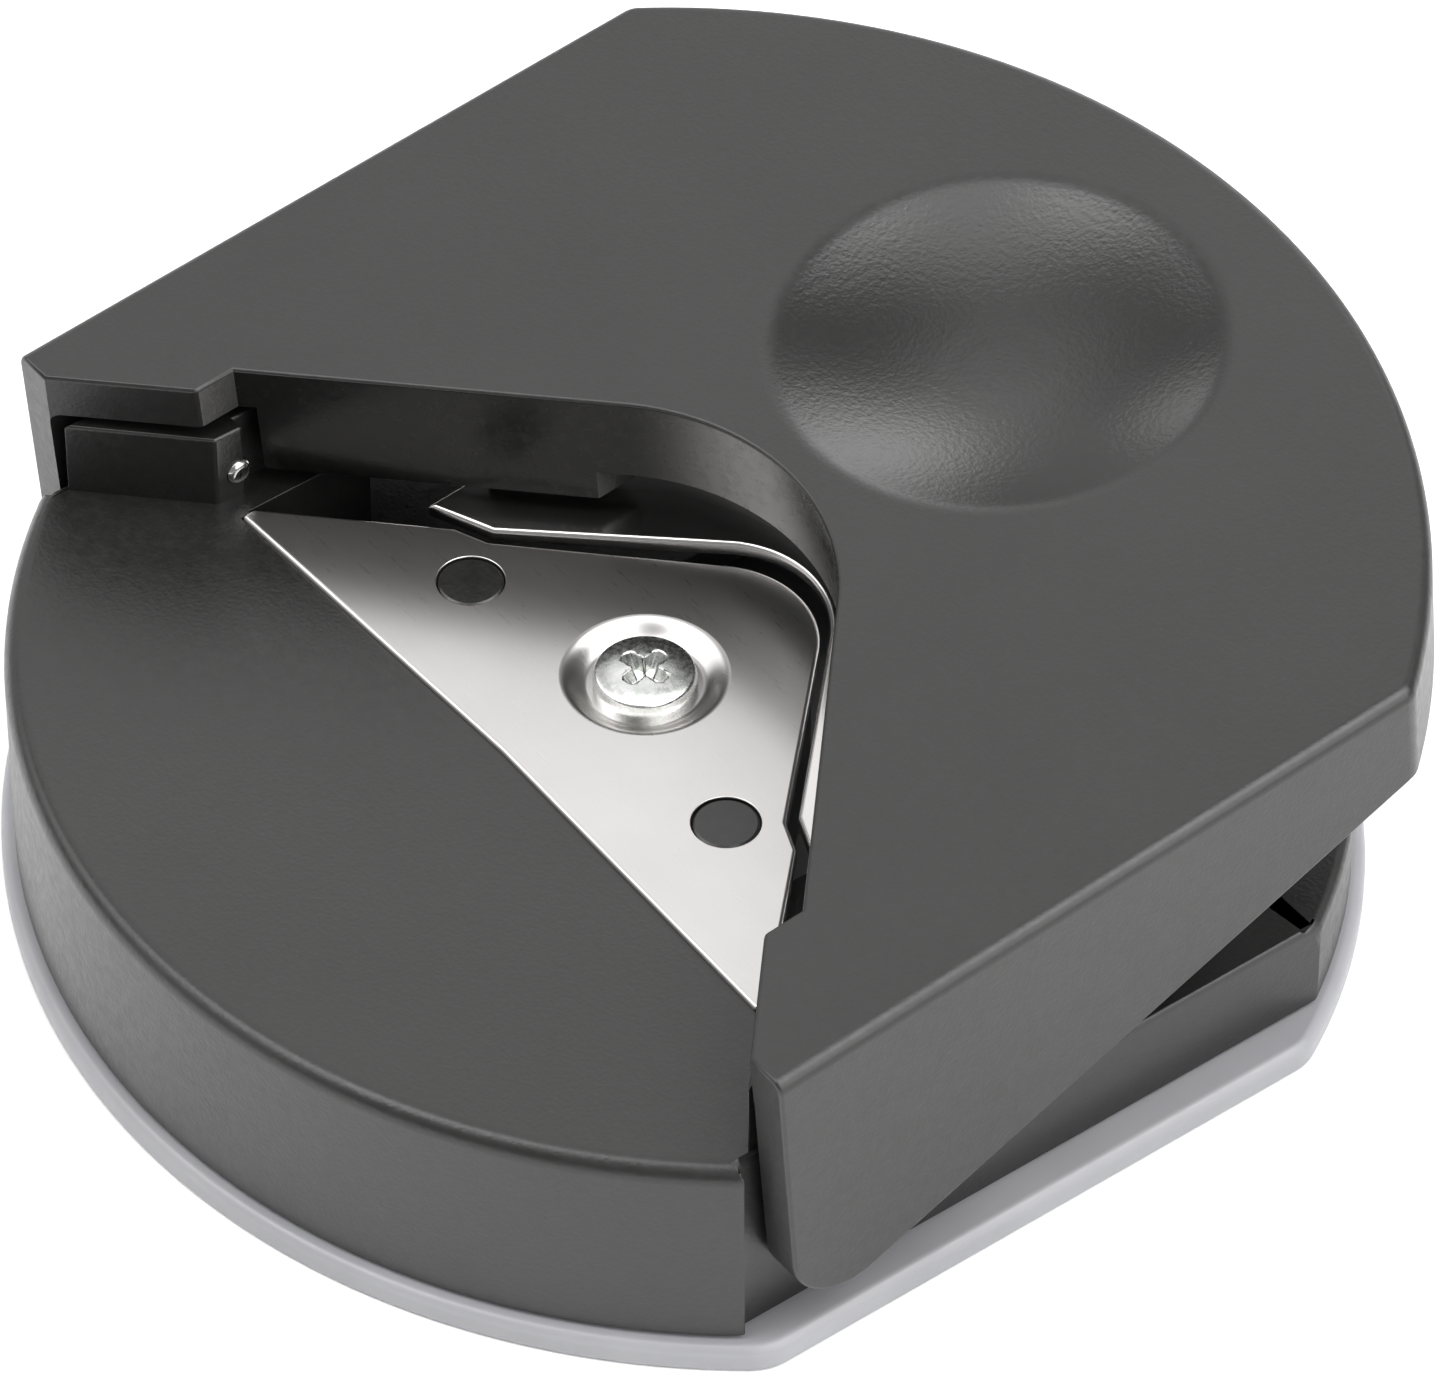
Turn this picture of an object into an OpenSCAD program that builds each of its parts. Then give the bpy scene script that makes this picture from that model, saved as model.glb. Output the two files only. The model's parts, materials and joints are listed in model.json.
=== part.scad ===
// Corner rounder: a thumb-pressed punch that rounds the corners of paper and card.
// Units are millimetres, +Z up. The origin is at the middle of the underside.
// The paper goes in from -Y; the cover is pressed down at +Y.

/* [Tray] */
// Width of the tray over its flange
tray_w = 51.8; // [51:0.2:53]
// Height of the tray flange
flange_t = 1.3; // [1:0.1:1.4]
// Height of the tray's inner wall
tray_wall_z = 4.0; // [3:0.1:4.1]

/* [Base] */
// Width of the base body
base_w = 48.4; // [47.9:0.1:48.6]
// Height of the paper table
table_z = 11.2; // [11:0.05:11.25]
// Height of the rear deck
deck_z = 6.0; // [5.6:0.1:6.4]
// Wall thickness of the base
base_wall = 1.8; // [1.4:0.1:2]
// Height of the top of the paper guide blocks
guide_z = 14.9; // [14:0.1:14.95]

/* [Cutter] */
// Radius cut on the paper corner
corner_r = 4.5; // [4:0.1:5]
// Clearance between die edge and punch edge, square to the edge
shear_gap = 0.37; // [0.34:0.01:0.45]
// Thickness of the die plate
die_t = 0.8; // [0.6:0.05:0.8]
// Thickness of the punch plate
punch_t = 0.7; // [0.5:0.05:0.7]

/* [Cover] */
// Width of the cover
cover_w = 53; // [53:0.1:54]
// Thickness of the cover's top plate
cover_t = 2.2; // [2:0.05:2.2]
// Thickness of the cover's side skirts
skirt_t = 1.9; // [1.6:0.05:1.9]
// Radius of the thumb dimple
dimple_r = 9.7; // [8:0.1:10]
// Depth of the thumb dimple
dimple_d = 1.8; // [1:0.1:2]
// Angle of the cover at rest, rear end up
rest_tilt = 4.74; // [4.7:0.01:4.8]

/* [Fits] */
// Diameter of the hinge pins
pin_d = 1.2; // [1:0.05:1.3]
// Radial running clearance of the hinge pins in the cover
pin_fit = 0.05; // [0.02:0.01:0.1]

/* [Hidden] */
$fn = 64;
eps = 0.01;
big = 200;
// How far straight sides run inside the rounds that they meet
blend = 0.015;

// Hinge axis, and the top face of the cover when it lies level
pivot_y = -10;
pivot_z = 12.5;
cover_top = 17.94;
cover_under = cover_top - cover_t;

// Plan outline: front arc centre and radius, rear arc centre and radius
front_c = 2.48;
front_r = 31.8;
rear_c = -1.23;
rear_r = 29.1;
base_step = 0.6;
base_z = flange_t + 0.2;

// Die plate: the cutting lines are y = die_c - |x|
die_top = 11.45;
die_c = 6.92;
die_tip_x = 18;
die_front_y = -10.83;
die_kink_y = -10.33;
screw_y = -2.96;
peg_x = 8.9;
peg_y = -5.45;
peg_r = 1.4;
dish_r = 3.05;
dish_floor_r = 2.5;
dish_d = 0.6;
arc_c = die_c - corner_r * sqrt(2);

// Punch plate, in the level cover
punch_c = die_c + shear_gap * sqrt(2);
punch_r = corner_r + shear_gap;
punch_z = 10.4;
punch_half = 13.6;
punch_rear = 12;

// Where the cutting edges end, the punch slants back and the die steps out to follow it
slant_x = 10.6;
slant_m = 0.414;
slant_k = sqrt(1 + slant_m * slant_m);
step_x = 11.9;

// Punch holder, bosses and screws, in the level cover
holder_top = 13.8;
boss_x = 8.5;
boss_y = 8.8;
boss_r = 2.3;
punch_screw_r = 0.9;
punch_head_r = 1.9;
punch_head_t = 0.8;

// In front of the skirts the base is wider than between them
front_half = 24.75;
front_back = -16.45;

// Guide blocks, and the shoulders that carry them
shoulder_x = 18.2;
ear_x = 16.5;
guide_c = 8.17;
guide_in = 19.3;
guide_out = 23.9;
guide_back = -7.6;

// Cover notch: lines y = c - notch_m |x|
notch_m = 0.909;
notch_k = sqrt(1 + notch_m * notch_m);
notch_c = 8.54;
notch_out_c = 6.62;
notch_r = 10.8;
jog_x = 19.68;
tip_y = -15.47;
cover_rear_c = -4.23;
cover_rear_r = 33.7;
vwall_t = 1.4;
vwall_z = 12.05;
vwall_apex_z = 13.65;
vwall_x = 19.1;
dimple_y = 16.07;
dimple_ball = (dimple_r * dimple_r + dimple_d * dimple_d) / (2 * dimple_d);

// Side profile of the skirts
lobe_y = -12.9;
lobe_z = 6.8;
lobe_r = 2.9;
skirt_rear_y = 16.35;
skirt_rear_z = 12.69;

// Return springs
spring_x = 16.5;
spring_y = 13.5;
spring_r = 2.25;
spring_wire = 0.6;
spring_turns = 6;
spring_low = deck_z + 0.02;
spring_high = 17.3;
post_r = 1.5;

// Sub-part to show

// ---------------------------------------------------------------- shared shapes

// Outline of tray and base: a front arc and a rear arc between straight sides
module plan(w, inset) {
    intersection() {
        translate([0, front_c]) circle(r = front_r - inset, $fn = 180);
        translate([-w / 2, -big]) square([w, big]);
    }
    intersection() {
        translate([0, rear_c]) circle(r = rear_r - inset, $fn = 180);
        translate([-w / 2, -eps]) square([w, big]);
    }
}

// Everything in front of the two lines y = c - m |x|
module in_front(c, m) {
    polygon([[0, c], [big, c - m * big], [-big, c - m * big]]);
}

// The same with the point rounded to radius r
module in_front_round(c, m, r) {
    k = sqrt(1 + m * m);
    yc = c - r * k;
    tx = (r - blend) * m / k;
    ty = yc + (r - blend) / k;
    polygon([[tx, ty], [big, c - m * big], [-big, c - m * big], [-tx, ty]]);
    translate([0, yc]) circle(r = r, $fn = 96);
}

module slab(z0, z1) {
    translate([0, 0, z0]) linear_extrude(z1 - z0) children();
}

module box_xyz(x0, x1, y0, y1, z0, z1) {
    translate([x0, y0, z0]) cube([x1 - x0, y1 - y0, z1 - z0]);
}

module both_sides() {
    children();
    mirror([1, 0, 0]) children();
}

// A cylinder along +X
module rod_x(x0, x1, y, z, r) {
    translate([x0, y, z]) rotate([0, 90, 0]) cylinder(h = x1 - x0, r = r);
}

// Puts a part drawn in the level cover at its rest angle
module at_rest() {
    translate([0, pivot_y, pivot_z])
        rotate([rest_tilt, 0, 0])
            translate([0, -pivot_y, -pivot_z])
                children();
}

// ---------------------------------------------------------------- waste tray

module waste_tray() {
    color([0.80, 0.80, 0.84, 0.6])
    difference() {
        union() {
            slab(0, flange_t) plan(tray_w, 0);
            slab(flange_t - eps, tray_wall_z) plan(base_w - 2 * base_wall - 0.6, base_step + base_wall + 0.3);
        }
        slab(1.0, 10) plan(base_w - 2 * base_wall - 3, base_step + base_wall + 1.5);
    }
}

// ---------------------------------------------------------------- base

// Plan of the raised part of the base: the table, the seats of the die plate's ears and the hinge shoulders
module raised_plan() {
    in_front_round(die_c - 0.5, 1, corner_r - 0.3);
    both_sides() {
        translate([ear_x, -30]) square([shoulder_x - ear_x + 1, 30 + die_kink_y]);
        translate([shoulder_x, -30]) square([10, 26]);
    }
}

// Plan of the table end: the sides step back to make room for the skirts
module table_plan() {
    difference() {
        plan(2 * front_half, base_step);
        both_sides() translate([base_w / 2, front_back]) square([10, big]);
    }
}

module guide_plan() {
    polygon([[guide_in, guide_c - guide_in], [guide_out, guide_c - guide_out],
        [guide_out, guide_back], [guide_in + 0.7, guide_back],
        [guide_in + 0.7, pivot_y + 0.3], [guide_in, pivot_y + 0.3]]);
}

module base_shell() {
    slab(base_z, deck_z) plan(base_w, base_step);
    slab(base_z, table_z) intersection() {
        table_plan();
        raised_plan();
    }
}

module base_hollow() {
    slab(0, deck_z - 1.6) plan(base_w - 2 * base_wall, base_step + base_wall);
    difference() {
        slab(deck_z - 1.6 - eps, table_z - 2) intersection() {
            plan(base_w - 2 * base_wall, base_step + base_wall);
            in_front(die_c - 0.5 - base_wall * sqrt(2), 1);
        }
        translate([0, screw_y, 0]) cylinder(h = 20, r = 3.8);
        both_sides() box_xyz(guide_in - 1, 30, -40, 0, 0, 20);
    }
}

// Opening in the rear deck through which the cut corners drop into the tray
module chute() {
    slab(0, table_z + 1) difference() {
        translate([-9, -6]) square([18, 18]);
        in_front_round(die_c - 0.5, 1, corner_r - 0.3);
    }
}

module base_body() {
    color([0.10, 0.10, 0.10])
    difference() {
        union() {
            difference() {
                base_shell();
                base_hollow();
                chute();
                slab(die_top - die_t - 0.02, 20) die_plan(0.15);
            }
            translate([0, screw_y, 3.2]) cylinder(h = 6.2, r = 3.0);
            both_sides() {
                slab(table_z - eps, guide_z) guide_plan();
                translate([peg_x, peg_y, table_z - 1.5]) cylinder(h = die_top - table_z + 1.45, r = peg_r);
                translate([spring_x, spring_y, deck_z - eps]) cylinder(h = 2, r = post_r);
            }
        }
        translate([0, screw_y, die_top - dish_d - die_t - 0.05]) cylinder(h = 5, r = dish_r + 0.15);
        translate([0, screw_y, 3.6]) cylinder(h = 10, r = 1.1);
        both_sides() rod_x(guide_in - 5, guide_out + 5, pivot_y, pivot_z, pin_d / 2 + eps);
    }
}

// ---------------------------------------------------------------- die plate and its screw

// The slanting side of the punch, as y at x
function slant_y(x) = punch_c - slant_x - slant_m * (x - slant_x);

// Plan of the die plate, grown by g
module die_plan(g) {
    tip = die_tip_x + g;
    side_y = slant_y(step_x) - (shear_gap - g) * slant_k;
    intersection() {
        union() {
            in_front_round(die_c + g * sqrt(2), 1, corner_r + g);
            both_sides() polygon([[9.5, -big], [big, -big], [big, side_y - (big - step_x)], [step_x, side_y],
                [9.5, side_y + slant_m * (step_x - 9.5)]]);
        }
        polygon([[0, die_kink_y - g], [tip, die_front_y - g], [tip, 20], [-tip, 20], [-tip, die_front_y - g]]);
    }
}

module die_plate() {
    color([0.80, 0.79, 0.78]) {
        difference() {
            slab(die_top - die_t, die_top) die_plan(0);
            translate([0, screw_y, 0]) cylinder(h = 20, r = dish_r - 0.01);
            both_sides() translate([peg_x, peg_y, 0]) cylinder(h = 20, r = peg_r + 0.03);
        }
        // pressed dish that takes the screw head
        translate([0, screw_y, die_top]) rotate_extrude() polygon([
            [1.3, -dish_d], [dish_floor_r, -dish_d], [dish_r - 0.05, 0], [dish_r, 0], [dish_r, -die_t],
            [dish_floor_r, -dish_d - die_t], [1.3, -dish_d - die_t]]);
    }
}

module cross_recess(size, depth) {
    for (a = [0, 90])
        rotate([0, 0, a]) translate([-size / 2, -size / 8, -depth]) cube([size, size / 4, depth + 1]);
}

module die_screw() {
    color([0.85, 0.85, 0.83])
    translate([0, screw_y, die_top - dish_d]) difference() {
        union() {
            rotate_extrude() polygon([[0, 0], [2.2, 0], [2.2, 0.55], [2.0, 0.85], [1.5, 1.05], [0, 1.1]]);
            translate([0, 0, -6.2]) cylinder(h = 6.3, r = 1.05);
        }
        translate([0, 0, 1.1]) rotate([0, 0, 12]) cross_recess(2.4, 0.7);
    }
}

// ---------------------------------------------------------------- hinge

module hinge_pins() {
    color([0.75, 0.75, 0.75])
    both_sides() rod_x(guide_in - 0.25, cover_w / 2 - 0.65, pivot_y, pivot_z, pin_d / 2);
}

// ---------------------------------------------------------------- cover

module cover_plan(inset) {
    intersection() {
        translate([0, cover_rear_c]) circle(r = cover_rear_r - inset, $fn = 180);
        translate([-cover_w / 2 + inset, tip_y - 5]) square([cover_w - 2 * inset, big]);
    }
}

// Where the line from p touches the circle round c: side is 1 or -1
function touch(p, c, r, side) =
    let (d = p - c, a = atan2(d[1], d[0]) + side * acos(r / norm(d)))
    c + r * [cos(a), sin(a)];

// Side view of the skirts, drawn in Y and Z
module skirt_profile() {
    top = [tip_y, cover_top];
    lobe = [lobe_y, lobe_z];
    rear = [skirt_rear_y, skirt_rear_z];
    polygon([top, touch(top, lobe, lobe_r - blend, 1), lobe, touch(rear, lobe, lobe_r - blend, -1), rear,
        [50, skirt_rear_z], [50, cover_top]]);
    translate(lobe) circle(r = lobe_r, $fn = 64);
}

module notch_plan() {
    intersection() {
        in_front_round(notch_c, notch_m, notch_r);
        square([2 * jog_x, big], center = true);
    }
    // only the arms: near the point the rounded notch is the whole outline
    difference() {
        in_front(notch_out_c, notch_m);
        translate([-jog_x / 2, -jog_x]) square([jog_x, big]);
    }
}

// Block from which the notch leaves a wall along its V, shorter round the point
module notch_block() {
    difference() {
        slab(vwall_z, cover_top - 1) intersection() {
            in_front_round(notch_c + vwall_t * notch_k, notch_m, notch_r + vwall_t);
            translate([-vwall_x, tip_y + 1]) square([2 * vwall_x, big]);
        }
        box_xyz(-8.4, 8.4, -5, 12, 0, vwall_apex_z);
    }
}

module cover_shell() {
    difference() {
        intersection() {
            slab(0, cover_top) cover_plan(0);
            rotate([90, 0, 90]) translate([0, 0, -40]) linear_extrude(80) skirt_profile();
        }
        slab(0, cover_under) cover_plan(skirt_t);
    }
}

module cover_level() {
    difference() {
        union() {
            cover_shell();
            notch_block();
            // thicker pad under the thumb dimple
            translate([0, dimple_y, cover_under - dimple_d]) cylinder(h = dimple_d + 0.5, r = dimple_r + 1.2);
            both_sides() {
                translate([boss_x, boss_y, holder_top]) cylinder(h = cover_under - holder_top + 0.5, r = boss_r);
                translate([spring_x, spring_y, cover_under - 1.8]) cylinder(h = 2.3, r = post_r);
            }
        }
        slab(0, 30) notch_plan();
        translate([0, dimple_y, cover_top - dimple_d + dimple_ball])
            rotate([0, 90, 0]) sphere(r = dimple_ball, $fn = 180);
        both_sides() {
            rod_x(cover_w / 2 - skirt_t - 3, cover_w / 2 - 0.55, pivot_y, pivot_z, pin_d / 2 + pin_fit);
            translate([boss_x, boss_y, 0]) cylinder(h = cover_under - 0.2, r = punch_screw_r + eps);
        }
    }
}

module top_cover() {
    color([0.13, 0.13, 0.13]) at_rest() cover_level();
}

// ---------------------------------------------------------------- punch

module punch_plan() {
    difference() {
        polygon([[-punch_half, punch_rear], [-punch_half, slant_y(punch_half)], [-9.6, slant_y(9.6)],
            [9.6, slant_y(9.6)], [punch_half, slant_y(punch_half)], [punch_half, punch_rear]]);
        in_front_round(punch_c, 1, punch_r);
    }
}

module punch_plate() {
    color([0.86, 0.85, 0.83]) at_rest() difference() {
        slab(punch_z, punch_z + punch_t) punch_plan();
        both_sides() translate([boss_x, boss_y, 0]) cylinder(h = 30, r = punch_screw_r + 0.1);
    }
}

module punch_holder() {
    color([0.08, 0.08, 0.08]) at_rest() difference() {
        slab(punch_z + punch_t, holder_top) difference() {
            translate([-punch_half + 0.3, -12]) square([2 * punch_half - 0.6, punch_rear + 12]);
            in_front_round(notch_c + (vwall_t + 0.15) * notch_k, notch_m, notch_r + vwall_t + 0.15);
        }
        both_sides() translate([boss_x, boss_y, 0]) cylinder(h = 30, r = punch_screw_r + 0.1);
    }
}

module punch_screws() {
    color([0.6, 0.6, 0.6]) at_rest() both_sides() translate([boss_x, boss_y, punch_z]) difference() {
        union() {
            translate([0, 0, -punch_head_t]) cylinder(h = punch_head_t, r = punch_head_r);
            cylinder(h = cover_under - punch_z - 0.4, r = punch_screw_r);
        }
        translate([0, 0, -punch_head_t]) mirror([0, 0, 1]) cross_recess(2.0, 0.45);
    }
}

// ---------------------------------------------------------------- return springs

function coil_centre(t, r, z0, z1, turns) = [r * cos(360 * turns * t), r * sin(360 * turns * t), z0 + (z1 - z0) * t];
function coil_point(t, a, r, w, z0, z1, turns) =
    coil_centre(t, r + w * cos(a), z0, z1, turns) + [0, 0, w * sin(a)];

// Round wire wound into a coil
module coil(r, w, z0, z1, turns) {
    steps = turns * 24;
    sides = 8;
    points = [for (i = [0:steps]) for (j = [0:sides - 1])
        coil_point(i / steps, -360 * j / sides, r, w, z0 + w, z1 - w, turns)];
    walls = [for (i = [0:steps - 1]) for (j = [0:sides - 1])
        [i * sides + j, i * sides + (j + 1) % sides, (i + 1) * sides + (j + 1) % sides, (i + 1) * sides + j]];
    ends = [[for (j = [0:sides - 1]) sides - 1 - j], [for (j = [0:sides - 1]) steps * sides + j]];
    polyhedron(points = points, faces = concat(walls, ends), convexity = 10);
}

module return_spring(side) {
    color([0.7, 0.7, 0.72])
    translate([side * spring_x, spring_y, 0])
        coil(spring_r, spring_wire / 2, spring_low, spring_high, spring_turns);
}

module return_spring_left() {
    return_spring(-1);
}

module return_spring_right() {
    return_spring(1);
}

// ---------------------------------------------------------------- assembly

base_body();
die_plate();
die_screw();
hinge_pins();
top_cover();
punch_holder();
punch_plate();
punch_screws();
return_spring_left();
return_spring_right();
waste_tray();
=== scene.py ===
import json
import math

import bmesh
import bpy
import numpy as np
from mathutils import Matrix, Vector


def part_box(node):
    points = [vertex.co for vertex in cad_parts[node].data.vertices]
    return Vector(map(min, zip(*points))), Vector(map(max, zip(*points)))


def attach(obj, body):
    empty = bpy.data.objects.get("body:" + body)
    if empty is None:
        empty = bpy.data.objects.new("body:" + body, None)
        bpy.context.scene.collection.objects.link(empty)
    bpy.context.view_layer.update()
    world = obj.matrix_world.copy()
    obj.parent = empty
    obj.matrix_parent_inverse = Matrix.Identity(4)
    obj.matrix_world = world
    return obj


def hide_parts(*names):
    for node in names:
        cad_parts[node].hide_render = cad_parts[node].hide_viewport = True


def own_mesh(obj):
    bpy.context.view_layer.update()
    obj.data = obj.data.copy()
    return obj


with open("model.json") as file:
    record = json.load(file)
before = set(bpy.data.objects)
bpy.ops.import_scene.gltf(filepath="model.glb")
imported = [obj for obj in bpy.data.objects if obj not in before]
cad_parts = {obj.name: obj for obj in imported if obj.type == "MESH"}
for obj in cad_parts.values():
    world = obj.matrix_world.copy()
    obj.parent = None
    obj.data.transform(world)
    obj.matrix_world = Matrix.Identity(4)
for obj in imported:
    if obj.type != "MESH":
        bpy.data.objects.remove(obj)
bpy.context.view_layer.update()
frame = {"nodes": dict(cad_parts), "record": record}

# Shapes are built in millimetres, the cover and the punch lying level, and turned to metres at the end.

MM = 0.001
BIG = 60.0


def box_mm(node):
    low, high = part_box(node)
    return low / MM, high / MM


joints = {j["name"]: j for j in frame["record"]["behaviour"]["joints"]}
PIVOT = Vector(joints["lever_press"]["pos_m"]) / MM

base_low, base_high = box_mm("base_body")
cover_high = box_mm("top_cover")[1]
tray_high = box_mm("waste_tray")[1]
plate_low, plate_high = box_mm("die_plate")
screw_low, screw_high = box_mm("die_screw")
pins_low, pins_high = box_mm("hinge_pins")

# Plan outlines: centre and radius of the front and rear arcs
FRONT_C, FRONT_R = 2.48, 31.8
REAR_C, REAR_R = -1.23, 29.1

# Tray
TRAY_HALF = tray_high.x
FLANGE_T = 1.3
TRAY_WALL_Z = tray_high.z

# Base
BASE_HALF = 24.2
BASE_STEP = 0.6
BASE_Z = base_low.z
BASE_WALL = 1.8
TABLE_Z = 11.2
DECK_Z = 6.0
GUIDE_Z = base_high.z
GUIDE_C, GUIDE_IN, GUIDE_OUT, GUIDE_BACK = 8.17, 19.3, 23.9, -7.6
SHOULDER_X, EAR_X = 18.2, 16.5
FRONT_HALF, FRONT_BACK = base_high.x, -16.45

CHUTE_HALF, CHUTE_FRONT, CHUTE_REAR = 9.0, -6.0, 12.0
SCREW_BOSS_R, SCREW_BOSS_LOW, SCREW_BOSS_TOP = 3.0, 3.2, 9.4

# Cutter
DIE_TOP = plate_high.z
DIE_T = 0.8
DIE_C, DIE_R = 6.92, 4.5
# The raised table ends in the same vee, a little in front of the die
BACK_C, BACK_R = DIE_C - 0.5, DIE_R - 0.3
DIE_TIP_X = plate_high.x
DIE_FRONT_Y = plate_low.y
DIE_KINK_Y = -10.33
SCREW_Y = (screw_low.y + screw_high.y) / 2
PEG_X, PEG_Y, PEG_R = 8.9, -5.45, 1.4
DISH_R, DISH_D = 3.05, 0.6
DISH_RIM = DISH_R + 0.55
SHEAR_GAP = 0.37
PUNCH_C, PUNCH_R = DIE_C + SHEAR_GAP * math.sqrt(2), DIE_R + SHEAR_GAP
PUNCH_Z, PUNCH_T = 10.4, 0.7
PUNCH_HALF, PUNCH_REAR = 13.6, 12.0
SLANT_X, SLANT_M, STEP_X = 10.6, 0.414, 11.9
BOSS_X, BOSS_Y, BOSS_R = 8.5, 8.8, 2.3

# Cover, lying level
REST_TILT = math.radians(4.74)
COVER_HALF = cover_high.x
COVER_TOP = 17.94
COVER_UNDER = 15.74
SKIRT_T = 1.9
COVER_REAR_C, COVER_REAR_R = -4.23, 33.7
NOTCH_M, NOTCH_C, NOTCH_OUT_C, NOTCH_R = 0.909, 8.54, 6.62, 10.8
JOG_X = 19.68
TIP_Y = -15.47
VWALL_T, VWALL_Z, VWALL_APEX_Z, VWALL_X = 1.4, 12.05, 13.65, 19.1
DIMPLE_Y, DIMPLE_R, DIMPLE_D = 16.07, 9.7, 1.8
LOBE = Vector((-12.9, 6.8))
LOBE_R = 2.9
SKIRT_REAR = Vector((16.35, 12.69))
SPRING_X, SPRING_Y, POST_R = 16.5, 13.5, 1.5


# ---------------------------------------------------------------- mesh building

def make(name, verts, faces):
    mesh = bpy.data.meshes.new(name)
    mesh.from_pydata([tuple(v) for v in verts], [], faces)
    mesh.validate()
    obj = bpy.data.objects.new(name, mesh)
    bpy.context.scene.collection.objects.link(obj)
    return obj


def arc(cx, cy, r, start, end, steps):
    angles = np.radians(np.linspace(start, end, steps + 1))
    return [(cx + r * math.cos(a), cy + r * math.sin(a)) for a in angles]


def inset(loop, d):
    """A counter-clockwise loop moved inwards by d."""
    p = np.array(loop, float)
    back, ahead = p - np.roll(p, 1, 0), np.roll(p, -1, 0) - p
    na = np.stack([-back[:, 1], back[:, 0]], 1) / np.linalg.norm(back, axis=1)[:, None]
    nb = np.stack([-ahead[:, 1], ahead[:, 0]], 1) / np.linalg.norm(ahead, axis=1)[:, None]
    mitre = (na + nb) / (1 + (na * nb).sum(1))[:, None]
    return p + d * mitre


def prism(name, loop, z0, z1, top=0.0, bottom=0.0, steps=6):
    """A closed prism over a counter-clockwise loop, with rounded top and bottom edges."""
    rings = []
    if bottom:
        for i in range(steps + 1):
            a = math.pi / 2 * i / steps
            rings.append((z0 + bottom * (1 - math.sin(a)), bottom * (1 - math.cos(a))))
        rings.reverse()
    else:
        rings.append((z0, 0.0))
    if top:
        for i in range(steps + 1):
            a = math.pi / 2 * i / steps
            rings.append((z1 - top * (1 - math.sin(a)), top * (1 - math.cos(a))))
    else:
        rings.append((z1, 0.0))
    n = len(loop)
    verts = []
    for z, d in rings:
        ring = inset(loop, d) if d else loop
        verts += [(x, y, z) for x, y in ring]
    faces = []
    for k in range(len(rings) - 1):
        for i in range(n):
            j = (i + 1) % n
            faces.append((k * n + i, k * n + j, (k + 1) * n + j, (k + 1) * n + i))
    faces.append(tuple(reversed(range(n))))
    faces.append(tuple(range((len(rings) - 1) * n, len(rings) * n)))
    return make(name, verts, faces)


def block(name, x0, x1, y0, y1, z0, z1):
    return prism(name, [(x0, y0), (x1, y0), (x1, y1), (x0, y1)], z0, z1)


def lathe(name, profile, x=0.0, y=0.0, steps=64):
    """A closed solid turned about a vertical axis. The profile runs from the axis round to the axis."""
    verts, rings = [], []
    for r, z in profile:
        if r < 1e-6:
            rings.append([len(verts)] * steps)
            verts.append((x, y, z))
        else:
            rings.append(list(range(len(verts), len(verts) + steps)))
            verts += [(x + r * math.cos(a), y + r * math.sin(a), z)
                      for a in (2 * math.pi * i / steps for i in range(steps))]
    faces = []
    for a, b in zip(rings, rings[1:]):
        for i in range(steps):
            j = (i + 1) % steps
            face = [a[i], a[j], b[j], b[i]]
            face = [v for k, v in enumerate(face) if v != face[k - 1]]
            if len(face) > 2:
                faces.append(tuple(face))
    return make(name, verts, faces)


def cylinder(name, x, y, z0, z1, r, steps=64):
    return lathe(name, [(0, z0), (r, z0), (r, z1), (0, z1)], x, y, steps)


def rod_x(name, x0, x1, y, z, r, steps=40):
    rod = cylinder(name, 0, 0, x0, x1, r, steps)
    rod.data.transform(Matrix.Translation((0, y, z)) @ Matrix.Rotation(math.pi / 2, 4, "Y"))
    return rod


def prism_x(name, loop, x0, x1):
    """A prism along X over a loop in Y and Z."""
    solid = prism(name, loop, x0, x1)
    solid.data.transform(Matrix(((0, 0, 1, 0), (1, 0, 0, 0), (0, 1, 0, 0), (0, 0, 0, 1))))
    return solid


def apply_modifiers(obj):
    bpy.context.view_layer.update()
    graph = bpy.context.evaluated_depsgraph_get()
    mesh = bpy.data.meshes.new_from_object(obj.evaluated_get(graph))
    old = obj.data
    obj.modifiers.clear()
    obj.data = mesh
    bpy.data.meshes.remove(old)


def combine(obj, operation, *tools):
    for tool in tools:
        mod = obj.modifiers.new("combine", "BOOLEAN")
        mod.operation = operation
        mod.solver = "EXACT"
        mod.object = tool
        apply_modifiers(obj)
        bpy.data.objects.remove(tool)
    return obj


def add(obj, *tools):
    return combine(obj, "UNION", *tools)


def cut(obj, *tools):
    return combine(obj, "DIFFERENCE", *tools)


def clean(obj, distance=0.004):
    bm = bmesh.new()
    bm.from_mesh(obj.data)
    bmesh.ops.remove_doubles(bm, verts=bm.verts, dist=distance)
    bmesh.ops.dissolve_degenerate(bm, edges=bm.edges, dist=distance)
    bmesh.ops.dissolve_limit(bm, angle_limit=math.radians(0.2), verts=bm.verts, edges=bm.edges,
                             delimit={"NORMAL"})
    bm.to_mesh(obj.data)
    bm.free()


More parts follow.
